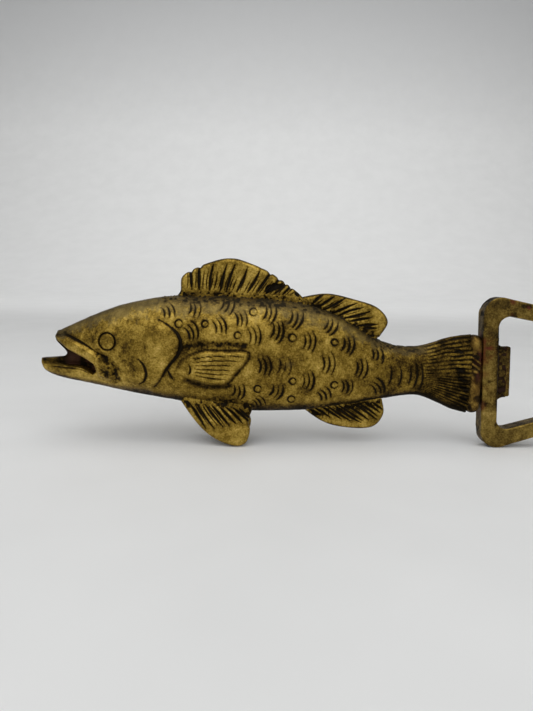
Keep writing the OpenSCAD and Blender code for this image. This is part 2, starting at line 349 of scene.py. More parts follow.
def eye(relief):
    """A low dome with a groove round it, in a swollen socket."""
    d = np.hypot(relief.x - EYE[0], relief.z - EYE[1])
    groove = bump(d - EYE_RING_R, 0.24)
    relief.height += 0.22 * (1 - step(d, 1.0, 2.2)) + 0.3 * bump(d - 3.3, 0.9)
    relief.height -= 0.5 * groove
    relief.darken(0.95 * groove)


def gill_cover(relief):
    """The gill cover stands proud of the flank behind it, with the cheek's edge cut into it."""
    x = relief.x
    z = relief.z
    edge = smooth_line(GILL_EDGE)
    cover = np.vstack([[(-5, 0), (-5, 60), (edge[0][0] - 3, 60)], edge, [(30, 0)]])
    d = depth_inside(cover, x, z)
    on_edge = distance(edge, x, z)
    relief.height += 0.62 * step(d, -0.1, 0.7) * bump(np.maximum(on_edge - 1, 0), 9)
    relief.height -= 0.35 * step(-d, 0, 0.5) * bump(on_edge, 2.2)
    relief.cut(edge, 0.34, 0.3)
    relief.cut([(38.9, 22.5), (40.2, 20)], 0.3, 0.25)
    cheek = smooth_line([(30.6, 25.8), (32.2, 23.9), (32.7, 21.4), (31.8, 19.2), (30.2, 18.2)])
    relief.cut(cheek, 0.36, 0.35, 0.9)
    relief.height += 0.3 * relief.spot(29.5, 22, 3, 4.5)


def jaws(relief):
    """The maxilla, the hollow behind it, the pitted cheek and snout, and the lower lip."""
    leaf = smooth_line(MAXILLA)[:-1]
    relief.height += 0.75 * step(depth_inside(leaf, relief.x, relief.z), -0.2, 0.9)
    top = smooth_line([(6.9, 31.9), (8.5, 31.8), (10.7, 31), (13.6, 29.8), (16.4, 28.2), (18.7, 26.6)])
    relief.cut(top, 0.32, 0.3, 0.9)
    behind = smooth_line([(18.4, 26.8), (20.6, 25.6), (22.6, 23.8), (23.6, 21.4), (23.3, 19.4)])
    relief.height -= 0.35 * relief.along(behind, 1)
    relief.pitted(relief.along(behind, 1.5), 0.7, 0.28, 1, 3)
    relief.darken(0.85 * relief.along(behind, 0.75) * step(relief.noise(1, 2), -0.7, 0))
    relief.pitted(0.8 * relief.spot(21, 22.5, 2.4, 3.6), 0.6, 0.2, 1, 4)
    relief.pitted(0.4 * relief.spot(27, 26, 8, 9), 0.55, 0.06, 0.7, 6)
    relief.pitted(0.45 * relief.spot(17.5, 31.2, 5, 3.2), 0.5, 0.06, 0.7, 8)
    relief.pitted(0.3 * relief.spot(29, 36, 5, 2), 0.5, 0.06, 0.8, 9)
    relief.cut(smooth_line([(4, 22.4), (8, 22.2), (12.4, 21.9), (14.4, 21.2), (16, 20)]), 0.3, 0.12, 0.5)
    brow = smooth_line([(9, 33.2), (13, 34.6), (18, 36), (24, 37.2)])
    relief.height -= 0.12 * relief.along(brow, 1.4)
    relief.pitted(relief.spot(6.5, 32.2, 2.5, 1.1), 0.6, 0.14, 0.9, 5)
    throat = relief.along([(25, 14.6), (31.5, 13.9)], 0.7)
    relief.height -= 0.5 * throat
    relief.darken(throat)


def pectoral_fin(relief, random):
    """The side fin lies flat on the flank, thick along its top, rear and lower edges, with a painted shadow
    under its lower edge.
    """
    x = relief.x
    z = relief.z
    leaf = smooth_line(PECTORAL, 4)[:-1]
    d = depth_inside(leaf, x, z)
    lift = 0.25 + 0.75 * step(x, 41, 52)
    relief.height += 0.68 * lift * step(d, -0.15, 0.75)
    relief.height += 0.12 * bump(d - 0.8, 0.5) * lift
    relief.darken(0.6 * lift * bump(d + 0.25, 0.4))
    for t in np.linspace(0, 1, 6):
        front = (45.8 + 1.2 * t, 26.2 - 4.8 * t)
        middle = (52.5, 27.2 - 6.6 * t)
        rear = (60.4 - 3.6 * t, 27.2 - 6.6 * t)
        ray = smooth_line([front, middle, rear], 5)
        relief.cut(ray, 0.16, 0.26, random.uniform(0.65, 0.9))
    for t in np.linspace(0.1, 0.9, 5):
        rear = (56 + 2 * random.uniform(-1, 1), 27.1 - 6.6 * t)
        relief.cut([(49 + t, 26.8 - 5.8 * t), rear], 0.14, 0.1, 0.2)
    relief.cut(arc((45.1, 23.2), 2.6, 0), 0.22, 0.3, 1)
    above = relief.along(smooth_line([(43, 29.4), (49.5, 30.3), (55, 30.5), (61, 30)]), 0.85)
    relief.height -= 0.3 * above
    relief.pitted(above, 0.75, 0.3, 1, 7)
    hollows = step(relief.noise(1.1, 9) + 0.6 * relief.noise(0.45, 10), -0.4, 0.35)
    ends = step(x, 43, 50) * (1 - 0.6 * step(x, 55, 60))
    relief.darken(0.8 * step(above, 0.3, 0.9) * ends * hollows)
    # Painted shadow: a dark band on the flank just under the fin's lower edge, where the fin would shade
    # it.
    below = smooth_line([(44, 20), (48.4, 18.2), (53, 17.8), (56.5, 18.6)])
    relief.darken(0.55 * relief.along(below, 0.7))


def tail(relief):
    """Long strokes round the narrow part, then rays that fan out to a row of pits at the joint."""
    x = relief.x
    z = relief.z
    middle_z = 22
    strokes = [(102.7, 5, -2), (105.6, 5.4, 2), (108.6, 4.6, 0), (110.2, 6.6, 0), (111.8, 7.2, 4)]
    for at, tall, lean in strokes:
        relief.cut(arc((at, middle_z), tall, lean, 1.6), 0.22, 0.22, 0.7)
    relief.cut(arc((100.3, 27.6), 3.6, 8), 0.22, 0.25, 0.9)
    rayed = step(x, 111.5, 114.5)
    upper = (z - middle_z) / np.maximum(curve(BACK, x) - middle_z, 1) * 9
    lower = (middle_z - z) / np.maximum(x - 104.5, 1) * 19
    rays = np.where(z > middle_z, upper, lower) + 0.22 * relief.noise(3.5, 11)
    groove = (0.5 - 0.5 * np.cos(2 * math.pi * rays)) ** 1.8
    fading = 0.6 + 0.7 * relief.noise(1.5, 12)
    strength = rayed * np.clip(fading + 0.4 * step(x, 119, 123), 0.2, 1)
    relief.height -= 0.26 * groove * strength
    relief.darken(0.5 * groove * strength)
    column = bump(np.maximum(np.abs(x - 124.4 + 0.17 * (z - 21)) - 0.7, 0), 0.6)
    holes = column * step(groove, 0.35, 0.6) * step(relief.noise(1.2, 13), -0.4, 0.1)
    relief.height -= 0.5 * holes
    relief.darken(0.95 * holes)
    for pit_x, pit_z in [(123.3, 29), (124, 23.4), (124.6, 20.6), (125.4, 18), (125.8, 14.8)]:
        sloping = z - pit_z + 0.35 * (x - pit_x)
        deep = bump(np.hypot((x - pit_x) / 1.3, sloping / 0.5), 1)
        relief.height -= 0.5 * deep
        relief.darken(deep)


def fin_roots(relief):
    """Dirty casting along the back, under the dorsal fins and round the roots of the lower fins; along the
    pelvic fins' root the dark band is also painted shade for the gap between fin and body.
    """
    back = smooth_line([(38, 43.2), (47.3, 43.2), (56, 43), (64.7, 42.6), (76.3, 41.8), (85.2, 39.8),
                        (92.7, 36.6), (99, 32.9)])
    band = bump(np.maximum(distance(back, relief.x, relief.z) - 0.6, 0), 1.1)
    relief.pitted(band, 0.75, 0.34, 0.95, 15)
    relief.height += 0.12 * band * relief.noise(0.5, 16)
    relief.pitted(0.8 * relief.along([(99, 30.6), (110, 29.2)], 1.1), 0.7, 0.15, 0.9, 17)
    relief.pitted(0.85 * relief.spot(99, 32.4, 2, 1.4), 0.8, 0.3, 1, 19)
    # Pitted band along the belly where the pelvic fins join: partly dirt, partly painted shade for the gap
    # between fin and body.
    belly = smooth_line([(41, 13), (46, 13.6), (53, 13.4), (60, 12.8), (64, 11.5)])
    relief.pitted(0.8 * relief.along(belly, 1.3), 0.8, 0.2, 0.9, 21)
    anal = smooth_line([(77, 11.4), (84, 12), (92, 13), (100, 14.6)])
    relief.pitted(0.9 * relief.along(anal, 0.9), 0.8, 0.2, 1, 23)


def flank_tones(relief, share):
    """Darker along the belly's edge, on the flank behind the head and towards the tail; oxide along the
    back, and a fin rubbed bright.

    share is 0 at the belly's edge and 1 at the back's.
    """
    x = relief.x
    z = relief.z
    edge = share + 0.05 * relief.noise(2, 34) + 0.07 * relief.noise(0.7, 36)
    relief.oxide = step(edge, 0.79, 0.93) * (1 - step(x, 112, 118))
    # Darker along the belly's edge, on the lower flank behind the head, towards the tail and a little on
    # the upper flank behind the head.
    relief.darken(0.5 * (1 - step(share, 0.02, 0.12)))
    relief.grime_and_shade += 0.26 * step(x, 84, 112) + 0.1 * (1 - step(share, 0.5, 0.8)) * step(x, 30, 45)
    relief.grime_and_shade += 0.07 * step(share, 0.55, 0.8) * step(x, 36, 48)
    relief.grime_and_shade -= 0.2 * step(depth_inside(smooth_line(PECTORAL, 4)[:-1], x, z), 0.3, 1.2)
    relief.oxide += 0.6 * relief.spot(73.5, 25, 2.5, 1.3) * step(relief.noise(1.2, 35), -0.3, 0.4)
    relief.oxide *= 1 - 0.85 * np.clip(relief.grime_and_shade, 0, 1)


def flank_relief(x, y, z, seed):
    """Everything that is worked into one flank of the fish."""
    random = np.random.default_rng(seed)
    relief = Relief(x, y, z, seed)
    gill_cover(relief)
    jaws(relief)
    eye(relief)
    scale_marks(relief, random)
    rings(relief, random)
    pectoral_fin(relief, random)
    tail(relief)
    share = (z - curve(BELLY, x)) / (curve(BACK, x) - curve(BELLY, x))
    relief.height *= step(share, 0, 0.06) * (1 - step(share, 0.97, 1))
    fin_roots(relief)
    flank_tones(relief, share)
    relief.height += 0.05 * relief.noise(2.6, 31) + 0.035 * relief.noise(1, 32)
    relief.height += 0.12 * relief.noise(9, 33)
    return relief


# ---------------------------------------------------------------- meshes

def in_row(points):
    """From the fish's own frame, in millimetres, to the row frame, in metres."""
    return (np.asarray(points, float) + [NOSE_X, 0, 0]) * MM


def from_loop(points):
    """From the opener loop's frame to the fish's own frame."""
    p = np.asarray(points, float)
    turn = math.radians(LOOP_TILT)
    x = FISH_LEN + COLLAR_GAP + p[..., 0] * math.cos(turn) - p[..., 2] * math.sin(turn)
    z = LOOP_Z + p[..., 0] * math.sin(turn) + p[..., 2] * math.cos(turn)
    return np.stack([x, p[..., 1], z], axis=-1)


def make_mesh(name, points, faces):
    """A piece of the scene from points in the fish's own frame."""
    mesh = bpy.data.meshes.new(name)
    mesh.from_pydata(in_row(points).tolist(), [], faces)
    piece = bpy.data.objects.new(name, mesh)
    bpy.context.scene.collection.objects.link(piece)
    return piece


def make_half(name, side, points, faces):
    """A piece drawn for the left half, where side is -1, and mirrored where side is 1."""
    if side == 1:
        faces = [face[::-1] for face in faces]
    return make_mesh(name, points * [1, -side, 1], faces)


def age(piece, grime_and_shade, rust=0, oxide=0):
    """What the materials read at each point; the darkening is dirt and, in a few places, painted shade, and
    below 0 it leaves metal rubbed bright.
    """
    for name, values in (("grime_and_shade", grime_and_shade), ("rust", rust), ("oxide", oxide)):
        layer = piece.data.attributes.new(name, "FLOAT", "POINT")
        every = np.broadcast_to(values, len(piece.data.vertices))
        layer.data.foreach_set("value", np.clip(every, -1, 1).astype(np.float32))


def places_of(piece):
    """The piece's points in the fish's own frame."""
    flat = np.empty(len(piece.data.vertices) * 3, np.float32)
    piece.data.vertices.foreach_get("co", flat)
    return flat.reshape(-1, 3) / MM - [NOSE_X, 0, 0]


def finish_piece(piece, material, node, sharp=52):
    """Shades the piece, and makes it stand for its CAD node."""
    piece.data.shade_smooth()
    piece.data.set_sharp_from_angle(angle=math.radians(sharp))
    piece.data.materials.clear()
    piece.data.materials.append(material)
    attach(piece, "root")
    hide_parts(node)


def normals(grid):
    """Unit normal at each point of a grid of points."""
    along = np.gradient(grid, axis=0)
    across = np.gradient(grid, axis=1)
    n = np.cross(along, across)
    return n / np.maximum(np.linalg.norm(n, axis=-1, keepdims=True), TINY)


def two_faced(front, back):
    """Points and faces of a closed plate between two grids that share no points."""
    rows, cols = front.shape[:2]
    points = np.concatenate([front.reshape(-1, 3), back.reshape(-1, 3)])
    size = rows * cols
    faces = []
    for i in range(rows - 1):
        for j in range(cols - 1):
            a = i * cols + j
            faces.append((a, a + 1, a + cols + 1, a + cols))
            faces.append((size + a, size + a + cols, size + a + cols + 1, size + a + 1))
    rim = [(i, 0) for i in range(rows - 1)]
    rim += [(rows - 1, j) for j in range(cols - 1)]
    rim += [(i, cols - 1) for i in range(rows - 1, 0, -1)]
    rim += [(0, j) for j in range(cols - 1, 0, -1)]
    for (i, j), (m, n) in zip(rim, rim[1:] + rim[:1]):
        a = i * cols + j
        b = m * cols + n
        faces.append((a, b, size + b, size + a))
    return points, faces


def cut_away(piece, tools):
    """Takes the tools' volumes out of the piece and deletes the tools."""
    for tool in tools:
        modifier = piece.modifiers.new("cut", "BOOLEAN")
        modifier.operation = "DIFFERENCE"
        modifier.solver = "MANIFOLD"
        modifier.object = tool
    apply_modifiers(piece)
    for tool in tools:
        bpy.data.objects.remove(tool)


def ring_faces(rows, around, joined=False):
    """Faces between closed rows of points; joined goes on from the last row to the first."""
    faces = []
    for i in range(rows if joined else rows - 1):
        here = i * around
        ahead = (i + 1) % rows * around
        for j in range(around):
            k = (j + 1) % around
            faces.append((here + j, here + k, ahead + k, ahead + j))
    return faces


def apply_modifiers(piece):
    """Makes what the modifiers give the piece's own mesh."""
    depsgraph = bpy.context.evaluated_depsgraph_get()
    mesh = bpy.data.meshes.new_from_object(piece.evaluated_get(depsgraph))
    piece.modifiers.clear()
    piece.data = mesh


def prism(name, outline, y0, y1):
    """A closed prism of the outline, which runs anticlockwise seen from -y."""
    n = len(outline)
    points = [(x, y, z) for y in (y0, y1) for x, z in outline]
    faces = [tuple(range(n)), tuple(range(2 * n - 1, n - 1, -1))]
    faces += [((i + 1) % n, i, n + i, n + (i + 1) % n) for i in range(n)]
    return make_mesh(name, points, faces)


# ---------------------------------------------------------------- the fish

def body_grid(seed):
    """Skin of one half, from the back's middle line round the flank to the belly's middle line.

    Its rows are closer together at the head, and its last and first columns lie on the mid-plane.
    """
    x = np.linspace(0, 1, STATIONS + 1)
    x = FISH_LEN * (0.25 * x**2 + 0.75 * x)
    angle = np.radians(np.linspace(90, -90, RING + 1))
    across, turn = np.meshgrid(x, angle, indexing="ij")
    top = curve(BACK, across)
    low = curve(BELLY, across)
    half = curve(FLANK, across)
    nose = np.sqrt(1 - (1 - np.clip(across / 1.6, 0, 1)) ** 2)
    half = half * (0.35 + 0.65 * nose)
    y = -half * superellipse(np.cos(turn))
    z = (top + low) / 2 + (top - low) / 2 * superellipse(np.sin(turn))
    skin = np.stack([across, y, z], axis=-1)
    relief = flank_relief(across, y, z, seed)
    out = normals(skin)
    out[..., 1] = np.where(out[..., 1] > 0, -out[..., 1], out[..., 1])
    raised = skin + out * relief.height[..., None]

    lip = 0.9
    near = np.clip(-depth_inside(smooth_line(MOUTH_GAP, 5), across, z), 0, lip)
    raised[..., 1] *= 1 - 0.45 * (1 - np.sqrt(1 - (1 - near / lip) ** 2))
    into_mouth = depth_inside(np.array(MOUTH_SIDE, float), across, z)
    floor = 1.2 + 0.5 * relief.spot(11, 24, 3.5, 0.7) + 0.15 * relief.noise(1.2, 41)
    sunk = step(into_mouth, -0.25, 0.5)
    raised[..., 1] = raised[..., 1] * (1 - sunk) - np.minimum(floor, -raised[..., 1]) * sunk
    raised[..., 0] = np.maximum(raised[..., 0], 0)
    raised[..., 1] = np.clip(raised[..., 1], -HALF_WIDTH, 0)
    raised[:, (0, -1), 1] = 0
    return raised


def fish_body(side, seed, brass):
    """One half casting, cut open at the mouth and hollowed for the tang."""
    grid = body_grid(seed)
    rows, cols = grid.shape[:2]
    faces = []
    for i in range(rows - 1):
        for j in range(cols - 1):
            a = i * cols + j
            faces.append((a, a + cols, a + cols + 1, a + 1))
        faces.append((i * cols, i * cols + RING, (i + 1) * cols + RING, (i + 1) * cols))
    faces.append(tuple(range(cols)))
    faces.append(tuple((rows - 1) * cols + RING - k for k in range(cols)))
    piece = make_half(f"fish_{SIDES[side]}_body", side, grid.reshape(-1, 3), faces)
    gap = prism("gap", smooth_line(MOUTH_GAP, 5), -20, 20)
    length, thick, height = TANG
    start = FISH_LEN + COLLAR_GAP - length - 0.5
    end = FISH_LEN + 2
    low = LOOP_Z - height / 2
    high = LOOP_Z + height / 2
    slot = prism("slot", [(start, low), (end, low), (end, high), (start, high)], -thick / 2, thick / 2)
    cut_away(piece, [gap, slot])
    p = places_of(piece)
    x, y, z = p.T
    relief = flank_relief(x, -np.abs(y), z, seed)
    into_mouth = depth_inside(np.array(MOUTH_SIDE, float), x, z)
    surface = curve(FLANK, np.clip(x, 0, FISH_LEN))
    hidden = step(into_mouth, -0.1, 0.5) * step(surface - np.abs(y), 0.3, 1.2)
    # Inside the sunk mouth the metal is drawn darker, and more so past x 5.5 to 9.
    mouth_darkness = 0.45 + 0.4 * step(x, 5.5, 9) + 0.2 * relief.noise(0.9, 42)
    rust = 0.6 * hidden * step(x, 6, 10) * step(relief.noise(1.6, 43), -0.2, 0.5)
    age(piece, np.maximum(relief.grime_and_shade, hidden * mouth_darkness), rust, relief.oxide)
    finish_piece(piece, brass, f"fish_{SIDES[side]}_half")


def notched(edge, root, rays, depth):
    """The free edge, drawn in towards the root where a ray's groove runs out over it."""
    way = root - edge
    way /= np.linalg.norm(way, axis=1, keepdims=True)
    drawn_in = np.zeros(len(edge))
    for ray in rays:
        drawn_in = np.maximum(drawn_in, bump(distance(ray, edge[:, 0], edge[:, 1]), 0.55))
    return edge + way * (depth * drawn_in)[:, None]


def fan(roots, count, angles, lengths, random, swell=0):
    """Rays from a row of roots; each pair holds what the first and the last ray have.

    Those in the middle of the row are longer by swell.
    """
    rays = []
    for k in range(count):
        t = (k + random.uniform(-0.18, 0.18)) / (count - 1)
        a = math.radians(angles[0] + (angles[1] - angles[0]) * t)
        length = lengths[0] + (lengths[1] - lengths[0]) * t + swell * math.sin(math.pi * np.clip(t, 0, 1))
        length *= random.uniform(0.85, 1.08)
        root = np.array(roots[0]) + (np.array(roots[1]) - roots[0]) * t
        bow = random.uniform(-0.05, 0.05) * length
        way = np.array((math.cos(a), math.sin(a)))
        middle = root + 0.5 * length * way + bow * np.array((-way[1], way[0]))
        rays.append(smooth_line([root, middle, root + length * way], 4))
    return rays


def middle_fin(name, side, seed, brass, outline, roots, bold, fine, notch=0, holes=()):
    """Half of a fin on the mid-plane: a flat inner face and a grooved outer one that thins to its edge.

    Each hole is a rough black hollow: its middle, half length, half height and lean.
    """
    root = spaced(roots, FIN_LINES)
    edge = notched(spaced(smooth_line(outline), FIN_LINES), root, bold, notch)
    v = np.linspace(0, 1, FIN_STEPS + 1) ** 0.85
    flat = root[:, None] + (edge - root)[:, None] * v[None, :, None]
    x = flat[..., 0]
    z = flat[..., 1]
    relief = Relief(x, np.zeros_like(x), z, seed)
    for ray in fine:
        relief.cut(ray, 0.17, 0.18, 0.65)
    for ray in bold:
        relief.cut(ray, 0.34, 0.45)
    from_edge = distance(edge, x, z)
    from_root = distance(root, x, z)
    relief.pitted(0.85 * bump(from_root - 3, 1.4), 0.6, 0.25, 1, 5)
    for at_x, at_z, long, high, lean in holes:
        turn = math.radians(lean)
        along = (x - at_x) * math.cos(turn) + (z - at_z) * math.sin(turn)
        across = (z - at_z) * math.cos(turn) - (x - at_x) * math.sin(turn)
        ragged = bump(np.hypot(along / long, across / high), 1) + 0.25 * relief.noise(0.9, 8)
        hollow = step(ragged, 0.3, 0.55)
        relief.height -= 0.6 * hollow
        relief.darken(hollow)
    relief.height += 0.08 * relief.noise(1.8, 6) + 0.05 * relief.noise(0.8, 7)
    relief.darken(0.45 * bump(from_edge, 0.5))
    rounded = np.sqrt(1 - (1 - np.clip(from_edge / 1.1, 0, 1)) ** 2)
    flare = 0.9 * bump(from_root, 1.8)
    height = np.maximum(FIN_HALF_T + flare + relief.height, FINEST_T) * (0.1 + 0.9 * rounded)
    front = np.stack([x, -height, z], axis=-1)
    back = np.stack([x, np.zeros_like(x), z], axis=-1)
    piece = make_half(f"{name}_{SIDES[side]}", side, *two_faced(front, back))
    age(piece, np.tile(relief.grime_and_shade.ravel(), 2))
    finish_piece(piece, brass, f"fish_{SIDES[side]}_half", sharp=70)


def middle_fins(side, seed, brass):
    """The fins along the back and under the tail, each with bold rays and fine ones between."""
    random = np.random.default_rng(seed + 10)
    middle_fin("dorsal_fin", side, seed + 20, brass, DORSAL, [(41, 41), (77, 40)],
               fan([(44.5, 45.5), (71.5, 44.5)], 11, (92, 42), (9.5, 6.5), random),
               fan([(43.6, 46), (73, 44.2)], 28, (92, 40), (5.5, 4), random),
               notch=0.5, holes=[(68.3, 46.3, 2.8, 1.1, 17), (75.4, 44.7, 1, 0.6, -30)])
    middle_fin("second_dorsal_fin", side, seed + 40, brass, SECOND_DORSAL, [(76, 40), (96, 31)],
               fan([(80, 42), (95, 35.2)], 9, (40, 0), (4.8, 4.4), random, 3.4),
               fan([(81.5, 42), (95, 36.6)], 8, (38, 4), (2.4, 3), random, 2))
    middle_fin("anal_fin", side, seed + 60, brass, ANAL, [(80, 12), (100, 16)],
               fan([(79.8, 10.9), (98.4, 13)], 11, (-32, -33), (4.2, 3.8), random, 5.4),
               fan([(82, 10.9), (97, 12.4)], 8, (-32, -33), (2, 2), random, 3))


def pelvic_fin(side, seed, brass):
    """A thick fin that splays outwards and that the fish stands on."""
    random = np.random.default_rng(seed)
    splay = math.radians(PELVIC_SPLAY)
    depth = (PELVIC_ROOT_H - PELVIC_T / 2 * math.sin(splay)) / math.cos(splay)
    edge = spaced(smooth_line([(x, -share * depth) for x, share in PELVIC]), PELVIC_LINES)
    root = spaced([(44, 1.5), (62, 1.5)], PELVIC_LINES)
    v = np.linspace(0, 1, PELVIC_STEPS + 1)
    flat = root[:, None] + (edge - root)[:, None] * v[None, :, None]
    x = flat[..., 0]
    z = flat[..., 1]
    from_edge = distance(edge, x, z)
    rounded = np.sqrt(1 - (1 - np.clip(from_edge / 1.3, 0, 1)) ** 2)
    sheets = []
    grimes = []
    for face in (-1, 1):
        relief = Relief(x, np.full_like(x, face), z, seed + face)
        for ray in fan([(44.6, -1), (59.5, -2.6)], 8, (-56, -38), (10.5, 5.5), random):
            relief.cut(ray, 0.36, 0.45)
        for ray in fan([(46, -1), (58, -3)], 7, (-55, -40), (8.5, 5), random):
            relief.cut(ray, 0.2, 0.22, 0.75)
        # Pitted casting near the root, nearly black at its rear: partly dirt in the pits, partly painted
        # shade for the gap between fin and body.
        relief.pitted(bump(z + 1.2, 1.6), 0.8, 0.25, 0.95, 5)
        relief.pitted(relief.spot(61, -2.5, 2.5, 2.2), 0.8, 0.3, 1, 9)
        relief.height += 0.06 * relief.noise(1.8, 6) + 0.04 * relief.noise(0.8, 7)
        y = face * (PELVIC_T / 2 + np.minimum(relief.height, 0)) * (0.12 + 0.88 * rounded)
        grimes.append(relief.grime_and_shade.ravel())
        turned_y = y * math.cos(splay) + z * math.sin(splay)
        turned_z = z * math.cos(splay) - y * math.sin(splay)
        sheets.append(np.stack([x, turned_y - PELVIC_OUT, turned_z + PELVIC_ROOT_H], axis=-1))
    lowest = min(sheet[..., 2].min() for sheet in sheets)
    points, faces = two_faced(*sheets)
    points[:, 2] -= min(lowest, 0)
    piece = make_half(f"pelvic_fin_{SIDES[side]}", side, points, faces)
    age(piece, np.concatenate(grimes))
    finish_piece(piece, brass, f"fish_{SIDES[side]}_half", sharp=70)


# ---------------------------------------------------------------- the opener loop and its joint

def loop_height():
    """Height of the loop's axis at the bar, which puts its lower corner on the floor."""
    taper = math.radians(SIDE_TAPER)
    tilt = math.radians(LOOP_TILT)
    corner = LOOP_H / 2 - OUTER_R * math.tan(taper) - OUTER_R / math.cos(taper)
    return corner * math.cos(tilt) - OUTER_R * math.sin(tilt) + OUTER_R


LOOP_Z = loop_height()


def corner_centres(x0, x1, start, taper, radius):
    """Middles of the four round corners of an outline from x0 to x1 whose sides lean inwards."""
    lean = math.radians(taper)
    centres = []
    for x, side in ((x0 + radius, -1), (x1 - radius, -1), (x1 - radius, 1), (x0 + radius, 1)):
        reach = start - x * math.tan(lean) - radius / math.cos(lean)
        centres.append((x, side * reach))
    return centres


def round_outline(centres, radius, taper, corner_steps=24, side_steps=70):
    """Closed outline, anticlockwise, round four corners; the same counts for any centres and radius."""
    lean = math.radians(taper)
    ways = (lean - math.pi / 2, 0, math.pi / 2 - lean, math.pi)
    line = []
    for i, centre in enumerate(centres):
        turn = (ways[i] - ways[i - 1]) % (2 * math.pi)
        for k in range(corner_steps):
            a = ways[i - 1] + turn * k / corner_steps
            line.append((centre[0] + radius * math.cos(a), centre[1] + radius * math.sin(a)))
        straight = radius * np.array((math.cos(ways[i]), math.sin(ways[i])))
        begin = centre + straight
        end = centres[(i + 1) % 4] + straight
        for k in range(side_steps):
            line.append(tuple(begin + (end - begin) * k / side_steps))
    return np.array(line)


def wall_rows(centres, radius, taper, sign):
    """Rows of points over the front edge, the wall and the back edge; sign is 1 outside and -1 inside."""
    half = BAR_T / 2
    quarter = np.radians(np.linspace(0, 90, 6))
    section = [(SOFT_EDGE * (1 - math.sin(a)), -half + SOFT_EDGE * (1 - math.cos(a))) for a in quarter]
    section += [(0, y) for y in np.linspace(-half + SOFT_EDGE, half - SOFT_EDGE, 10)[1:-1]]
    section += [(SOFT_EDGE * (1 - math.cos(a)), half - SOFT_EDGE * (1 - math.sin(a))) for a in quarter]
    rows = []
    for inset, y in section:
        line = round_outline(centres, radius - sign * inset, taper)
        rows.append(np.column_stack([line[:, 0], np.full(len(line), y), line[:, 1]]))
    return rows


def rows_between(first, last):
    """Rows across a flat face, from one edge's row to the other's."""
    return [first * (1 - t) + last * t for t in np.linspace(0, 1, 14)[1:-1]]


def opener_loop(steel):
    """The flat bar bent round: one row of points per step of its section, from the outer front edge."""
    half = BAR_T / 2
    corners = corner_centres(0, LOOP_LEN, LOOP_H / 2, SIDE_TAPER, OUTER_R)
    outer = wall_rows(corners, OUTER_R, SIDE_TAPER, 1)
    corners = corner_centres(BAR_W, LOOP_LEN - BAR_W, INNER_START, INNER_TAPER, INNER_R)
    inner = wall_rows(corners, INNER_R, INNER_TAPER, -1)[::-1]
    rows = outer + rows_between(outer[-1], inner[0]) + inner + rows_between(inner[-1], outer[0])
    grid = np.array(rows)
    hammer = 0.07 * lumps(grid, 4.5, 71) + 0.035 * lumps(grid, 1.4, 72)
    hammer -= 0.12 * step(lumps(grid, 2.2, 73), 0.45, 0.7)
    across = np.roll(grid, -1, axis=0) - np.roll(grid, 1, axis=0)
    out = np.cross(across, np.roll(grid, -1, axis=1) - np.roll(grid, 1, axis=1))
    out /= np.linalg.norm(out, axis=-1, keepdims=True)
    if out[0, 0, 1] > 0:
        out = -out
    grid = grid + out * np.minimum(hammer, 0)[..., None]
    faces = ring_faces(*grid.shape[:2], joined=True)
    piece = make_mesh("opener_loop", from_loop(grid.reshape(-1, 3)), faces)
    fix_normals(piece)
    p = grid.reshape(-1, 3)
    dips = step(-hammer.ravel(), 0.05, 0.16)
    # The bar is drawn darker on its inner face beside the lug, and a little darker on its walls than on its
    # flat faces.
    near_lug = bump(np.maximum(np.abs(p[:, 2]) - 8, 0), 3) * bump(p[:, 0] - BAR_W, 0.7)
    side_face = step(np.abs(p[:, 1]), half, half - 1.2)
    worn_edge = bump(np.abs(p[:, 1]) - half + 0.3, 0.25) * step(lumps(p, 5, 74), -0.4, 0.3)
    grime_and_shade = 0.25 + 0.5 * dips + 0.4 * near_lug + 0.12 * side_face - 0.25 * worn_edge
    spots = bump(np.hypot((p[:, 0] - 1.3) / 1.7, (p[:, 2] - 7.4) / 2.4), 1)
    spots *= step(lumps(p, 1.3, 75), -0.35, 0.25)
    arm = bump(p[:, 2] - 20, 5) * step(p[:, 0], 5, 8) * step(lumps(p, 1.6, 76), 0.25, 0.6)
    smear = 0.55 * bump(p[:, 0], 1.6) * bump(np.maximum(np.abs(p[:, 2]) - 11, 0), 2)
    smear *= step(lumps(p, 2, 77), -0.2, 0.5)
    age(piece, grime_and_shade, spots + 0.75 * arm + smear)
    finish_piece(piece, steel, "opener_frame", sharp=60)


def fix_normals(piece):
    """Turns every face of a closed piece outwards."""
    mesh = bmesh.new()
    mesh.from_mesh(piece.data)
    bmesh.ops.recalc_face_normals(mesh, faces=mesh.faces)
    mesh.to_mesh(piece.data)
    mesh.free()


